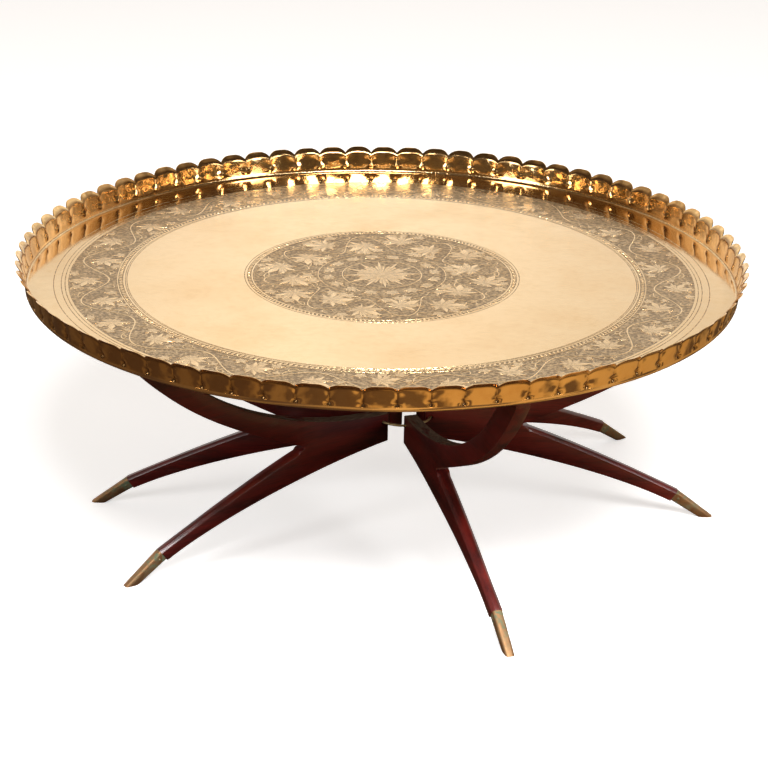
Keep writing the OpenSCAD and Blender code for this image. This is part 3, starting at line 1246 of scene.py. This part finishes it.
        upper = [
            e
            for e in bm.edges
            if all(first < v.co.x < last and on_top(v) for v in e.verts)
            and e.verts[0].co.y * e.verts[1].co.y > 0
            and e.calc_face_angle(0.0) > math.radians(40)
        ]
        bevel(bm, upper, self.chamfer, 1)
        hub = self.hole_middle()
        rest = [
            e
            for e in bm.edges
            if e.calc_face_angle(0.0) > math.radians(30)
            and all((Vector((v.co.x, 0, v.co.z)) - hub).length > self.ring_hole for v in e.verts)
        ]
        bevel(bm, rest, self.broken, 2)

    def mark_surface(self, bm: BMesh, arm_top: list[Vector], shift: float) -> None:
        """Record each point's place in the plank and give the arm's upper edge the bare finish."""
        place = bm.verts.layers.float_vector.new(PLACE)
        for vert in bm.verts:
            vert[place] = vert.co + Vector((0, shift, 0.3 * shift))
        for face in bm.faces:
            middle = face.calc_center_median()
            middle.y = 0
            near = min((p - middle).length for p in arm_top)
            on_curve = near < self.bare_depth and middle.x < self.arm_tip - self.tip_flat
            if on_curve and face.normal.z > 0.2:
                face.material_index = 1

    def build_cap(self) -> BMesh:
        """Fold the cap's tapered sleeve, cut its sole level and round its toe."""
        bm = bmesh.new()
        reach = 1.6 * self.cap_len
        bmesh.ops.create_cube(bm, size=1.0)
        for vert in bm.verts:
            along = (vert.co.x + 0.5) * reach
            deep = self.cap_depth + (self.toe_depth - self.cap_depth) * along / self.cap_len
            centre = self.shoulder + along * self.cap_axis
            wide = self.width_at(centre.x)
            vert.co = centre + self.cap_side * (vert.co.z * deep) + Vector((0, vert.co.y * wide, 0))
        long_edges = [
            e
            for e in bm.edges
            if abs((e.verts[0].co - e.verts[1].co).normalized().dot(self.cap_axis)) > 0.9
        ]
        bevel(bm, long_edges, self.cap_round, 4, clamp=True)
        toe = self.foot_r + self.toe_cut
        for point, normal in (((0, 0, 0), (0, 0, -1)), ((toe, 0, 0), (1, 0, 0))):
            cut = bmesh.ops.bisect_plane(
                bm, geom=bm.verts[:] + bm.edges[:] + bm.faces[:], dist=1e-6,
                plane_co=point, plane_no=normal, clear_outer=True,
            )["geom_cut"]
            bmesh.ops.contextual_create(bm, geom=[g for g in cut if isinstance(g, bmesh.types.BMEdge)])
        close_up(bm)
        tip = [e for e in bm.edges if all(abs(v.co.x - toe) < 1e-5 for v in e.verts)]
        bevel(bm, tip, self.toe_round, 4, clamp=True)
        sole = [e for e in bm.edges if all(abs(v.co.z) < 1e-5 for v in e.verts)]
        bevel(bm, [e for e in sole if e.calc_face_angle(0.0) > 0.5], self.broken, 2, clamp=True)
        mouth = max(bm.faces, key=lambda f: -f.normal.dot(self.cap_axis))
        self.draw_in(bm, mouth, self.cap_wall, self.cap_len - self.toe_solid)
        bmesh.ops.recalc_face_normals(bm, faces=bm.faces[:])
        worn = bm.verts.layers.float.new(WORN)
        for vert in bm.verts:
            along = (vert.co - self.shoulder).dot(self.cap_axis) / self.cap_len
            vert[worn] = 1 - smoothstep(0.0, 0.62, along)
        mark_sharp(bm, 35)
        return bm

    def build_nails(self) -> BMesh:
        """Set a domed nail in each side of the cap."""
        bm = bmesh.new()
        worn = bm.verts.layers.float.new(WORN)
        place = self.shoulder + self.nail_from_edge * self.cap_axis
        half = self.width_at(place.x) / 2
        for side in (-1, 1):
            dome = bmesh.ops.create_uvsphere(
                bm, u_segments=16, v_segments=10, radius=self.nail_head / 2
            )["verts"]
            bmesh.ops.scale(bm, vec=(1, 0.45, 1), verts=dome)
            bmesh.ops.translate(bm, verts=dome, vec=place + Vector((0, side * half, 0)))
            for vert in dome:
                vert[worn] = 0.7
        mark_sharp(bm, 60)
        return bm


@dataclass
class Stand:
    """Six boards threaded on a wire ring, with their caps and nails.

    Attributes:
        directions: Directions of the six boards in degrees, board 1 at the front.
    """

    directions: tuple[float, ...] = (288, 0, 39, 108, 178, 214)

    def build(self, finishes: "Finishes", tray: Tray) -> None:
        """Build all boards and dress the ring."""
        swing = next(j for j in frame["joints"] if j["name"] == "leg_4_swing")
        axis = Vector((swing["pos_m"][0], swing["pos_m"][1], 0))
        board = Board(arm_tip=tray.base - axis.x, tray_z=tray.under - SEAT_GAP)
        for i, degrees in enumerate(self.directions, start=1):
            place = Matrix.Translation(axis) @ Matrix.Rotation(math.radians(degrees), 4, "Z")
            wood = [finishes.wood, finishes.bare]
            parts = (
                ("board", "dark_wood", "leg", board.build_board(0.37 * i), wood),
                ("cap", "aged_brass", "foot_cap", board.build_cap(), [finishes.cap]),
                ("nails", "nail_brass", "cap_nails", board.build_nails(), [finishes.nail]),
            )
            for name, slot, node, bm, materials in parts:
                bmesh.ops.transform(bm, matrix=place, verts=bm.verts[:])
                Piece(f"{name}_{i}", f"leg_{i}", slot, (f"{node}_{i}",)).make(bm, materials)
        ring = frame["nodes"]["hub_ring"]
        for slot in ring.material_slots:
            slot.material = finishes.ring
        LOG.info("hub_ring: dressed")


# ---------------------------------------------------------------- finishes and studio


class Finishes:
    """Every material of the object."""

    def __init__(self) -> None:
        """Build all finishes once."""
        effects = SharedEffects()
        self.sheet = SheetBrass("engraved brass").build(effects)
        self.wall = SheetBrass(
            "fluted brass",
            clean=(0.80, 0.53, 0.24, 1),
            warm=(0.62, 0.34, 0.11, 1),
            # On the wall this ground colour is painted shade by the creases and under the lip.
            ground=(0.16, 0.07, 0.02, 1),
            roughness=0.07,
            waves=0.9 * MM,
            wave_scale=38.0,
            stippled=False,
        ).build(effects)
        self.cap = AgedBrass("aged brass").build(effects)
        nail = AgedBrass("nail brass", metal=(0.42, 0.36, 0.20, 1), brown=(0.20, 0.15, 0.08, 1))
        self.nail = nail.build(effects)
        ring = AgedBrass("ring brass", (0.62, 0.50, 0.27, 1), (0.36, 0.27, 0.13, 1), corrosion=0.0)
        self.ring = ring.build(effects)
        self.wood = LacqueredWood("lacquered wood").build(effects)
        self.bare = LacqueredWood("worn edge", worn=0.9, roughness=0.8, shine=0.0).build(effects)


class LightSide(Enum):
    """Where a soft light stands, seen from the front."""

    LEFT = -1
    RIGHT = 1


@dataclass
class Studio:
    """Pale floor, soft light and the camera.

    Attributes:
        distance: Distance of the camera from the middle of the tray.
        elevation: How high the camera stands over the tray, in degrees.
        tilt: How far it looks below the tray's middle, in degrees.
        pan: How far it looks to the right of the tray's middle, in degrees.
        roll: How far it leans, in degrees.
        lens: Focal length for a 36 mm wide sensor, in mm.
        floor_seen: Colour of the floor as the camera sees it.
        floor_glow: Light that is added to it there.
        floor_painted_shade: Painted shade: colour that the floor throws on the object under the stand,
            towards the left and in dark patches.
        floor_painted_light: Colour that its painted lit parts throw.
        sky_dark: Tint of the surroundings where they are dim.
        sky_light: Tint of the surroundings where they are bright.
        side_light: Place of the right-hand soft box; the left-hand one mirrors it.
        side_power: Power of each of the two, in watts.
        key_light: Place of the soft box overhead.
        key_power: Its power, in watts.
    """

    distance: float = 3.649
    elevation: float = 19.51
    tilt: float = 2.752
    pan: float = 0.097
    roll: float = 0.958
    lens: float = 106.04
    floor_seen: Colour = (0.93, 0.93, 0.93, 1)
    floor_glow: float = 0.5
    floor_painted_shade: Colour = (0.05, 0.03, 0.02, 1)
    floor_painted_light: Colour = (0.37, 0.24, 0.10, 1)
    sky_dark: Colour = (1.0, 0.66, 0.38, 1)
    sky_light: Colour = (1.0, 0.97, 0.92, 1)
    side_light: tuple[float, float, float] = (2.7, -2.2, 1.7)
    side_power: float = 45
    key_light: tuple[float, float, float] = (0.4, -2.3, 3.0)
    key_power: float = 190

    def build_camera(self, target: Vector) -> None:
        """Stand the camera in front of the tray.

        Args:
            target: Middle of the tray's underside.
        """
        rise, tilt = math.radians(self.elevation), math.radians(self.tilt)
        pan, roll = math.radians(self.pan), math.radians(self.roll)
        back = Vector((0, -math.cos(rise), math.sin(rise)))
        right = Vector((1, 0, 0))
        up = right.cross(-back)
        forward = -back * math.cos(tilt) - up * math.sin(tilt)
        up = up * math.cos(tilt) - back * math.sin(tilt)
        forward, right = (
            forward * math.cos(pan) + right * math.sin(pan),
            right * math.cos(pan) - forward * math.sin(pan),
        )
        right, up = (
            right * math.cos(roll) + up * math.sin(roll),
            up * math.cos(roll) - right * math.sin(roll),
        )
        data = bpy.data.cameras.new("camera")
        data.lens = self.lens
        data.sensor_width = 36
        data.clip_end = 100
        camera = bpy.data.objects.new("camera", data)
        turn = Matrix((right, up, -forward)).transposed().to_4x4()
        camera.matrix_world = Matrix.Translation(target + self.distance * back) @ turn
        bpy.context.scene.collection.objects.link(camera)
        bpy.context.scene.camera = camera

    def build_floor(self) -> None:
        """Lay a plain pale floor, which throws back less light than it shows, with painted shade in what
        it throws: a painted shadow under the stand, darker towards the left and in patches.
        """
        bm = bmesh.new()
        bmesh.ops.create_grid(bm, x_segments=1, y_segments=1, size=30)
        mesh = bpy.data.meshes.new("studio_floor")
        bm.to_mesh(mesh)
        bm.free()
        material, graph, shader = Finish("pale floor").start()
        seen = graph.add("ShaderNodeLightPath").outputs["Is Camera Ray"]
        place = graph.add("ShaderNodeTexCoord").outputs["Object"]
        across = graph.add("ShaderNodeSeparateXYZ", {0: place}).outputs[0]
        reach = graph.add("ShaderNodeVectorMath", {0: place}, operation="LENGTH").outputs["Value"]
        # Painted light and shade on what the floor throws back: a painted shadow under the stand, darker
        # towards the left, and dark patches.
        painted_light_rightwards = graph.ramp(across, -0.55, 0.1, 0.15, 1.0)
        outside_painted_shadow = graph.ramp(reach, 0.35, 0.7)
        patches = graph.ramp(graph.noise(place, 2.6, 0.0), 0.42, 0.56, 0.12, 1.0)
        painted_lit = graph.times(graph.times(painted_light_rightwards, outside_painted_shadow), patches)
        painted_bounce = graph.mix(painted_lit, self.floor_painted_shade, self.floor_painted_light)
        graph.link(graph.mix(seen, painted_bounce, self.floor_seen), shader, "Base Color")
        graph.link(graph.times(seen, self.floor_glow), shader, "Emission Strength")
        shader.inputs["Emission Color"].default_value = (1, 1, 1, 1)
        shader.inputs["Roughness"].default_value = 1.0
        shader.inputs["Specular IOR Level"].default_value = 0.0
        mesh.materials.append(material)
        floor = bpy.data.objects.new("studio_floor", mesh)
        bpy.context.scene.collection.objects.link(floor)

    def build_world(self) -> None:
        """Surround the object with a room that is bright behind, dim in front and pale to look at."""
        world = bpy.data.worlds.new("studio")
        bpy.context.scene.world = world
        world.use_nodes = True
        graph = Graph(world.node_tree)
        sky = world.node_tree.nodes["Background"]
        direction = graph.add("ShaderNodeTexCoord").outputs["Generated"]
        split = graph.add("ShaderNodeSeparateXYZ", {0: direction})
        behind = graph.ramp(split.outputs[1], 0.0, 0.75, 0.10, 1.0)
        height = graph.ramp(split.outputs[2], 0.45, 0.85, 1.0, 0.6)
        patches = graph.ramp(graph.noise(direction, 6.5, stretch=(1, 1, 1.6)), 0.38, 0.62, 0.85, 1.5)
        strength = graph.times(graph.times(behind, height), patches)
        seen = graph.add("ShaderNodeLightPath").outputs["Is Camera Ray"]
        tint = graph.mix(behind, self.sky_dark, self.sky_light)
        graph.link(graph.mix(seen, tint, (1, 1, 1, 1)), sky, "Color")
        graph.link(graph.math("MAXIMUM", strength, seen), sky, "Strength")

    @staticmethod
    def add_light(name: str, place: Vector, size: tuple[float, float], power: float) -> None:
        """Hang a soft box that points at the tray.

        Args:
            name: Name of the light.
            place: Where it hangs.
            size: Its width and height.
            power: Its power in watts.
        """
        data = bpy.data.lights.new(name, "AREA")
        data.shape = "RECTANGLE"
        data.size, data.size_y = size
        data.energy = power
        light = bpy.data.objects.new(name, data)
        light.location = place
        light.rotation_euler = (Vector((0, 0, 0.3)) - place).to_track_quat("-Z", "Y").to_euler()
        bpy.context.scene.collection.objects.link(light)

    def build(self, target: Vector) -> None:
        """Set up the camera, floor, surroundings and lights."""
        self.build_camera(target)
        self.build_floor()
        self.build_world()
        across, along, height = self.side_light
        for side in LightSide:
            place = Vector((side.value * across, along, height))
            self.add_light(f"soft_box_{side.name.lower()}", place, (0.9, 1.5), self.side_power)
        self.add_light("key_light", Vector(self.key_light), (1.8, 1.2), self.key_power)
        bpy.context.scene.view_settings.view_transform = "Standard"


def main() -> None:
    """Build the studio and the whole object."""
    logging.basicConfig(level=logging.INFO, format="%(name)s: %(message)s")
    tray = Tray()
    Studio().build(Vector((0, 0, tray.under)))
    finishes = Finishes()
    tray.build(finishes)
    Stand().build(finishes, tray)


if __name__ == "__main__":
    main()
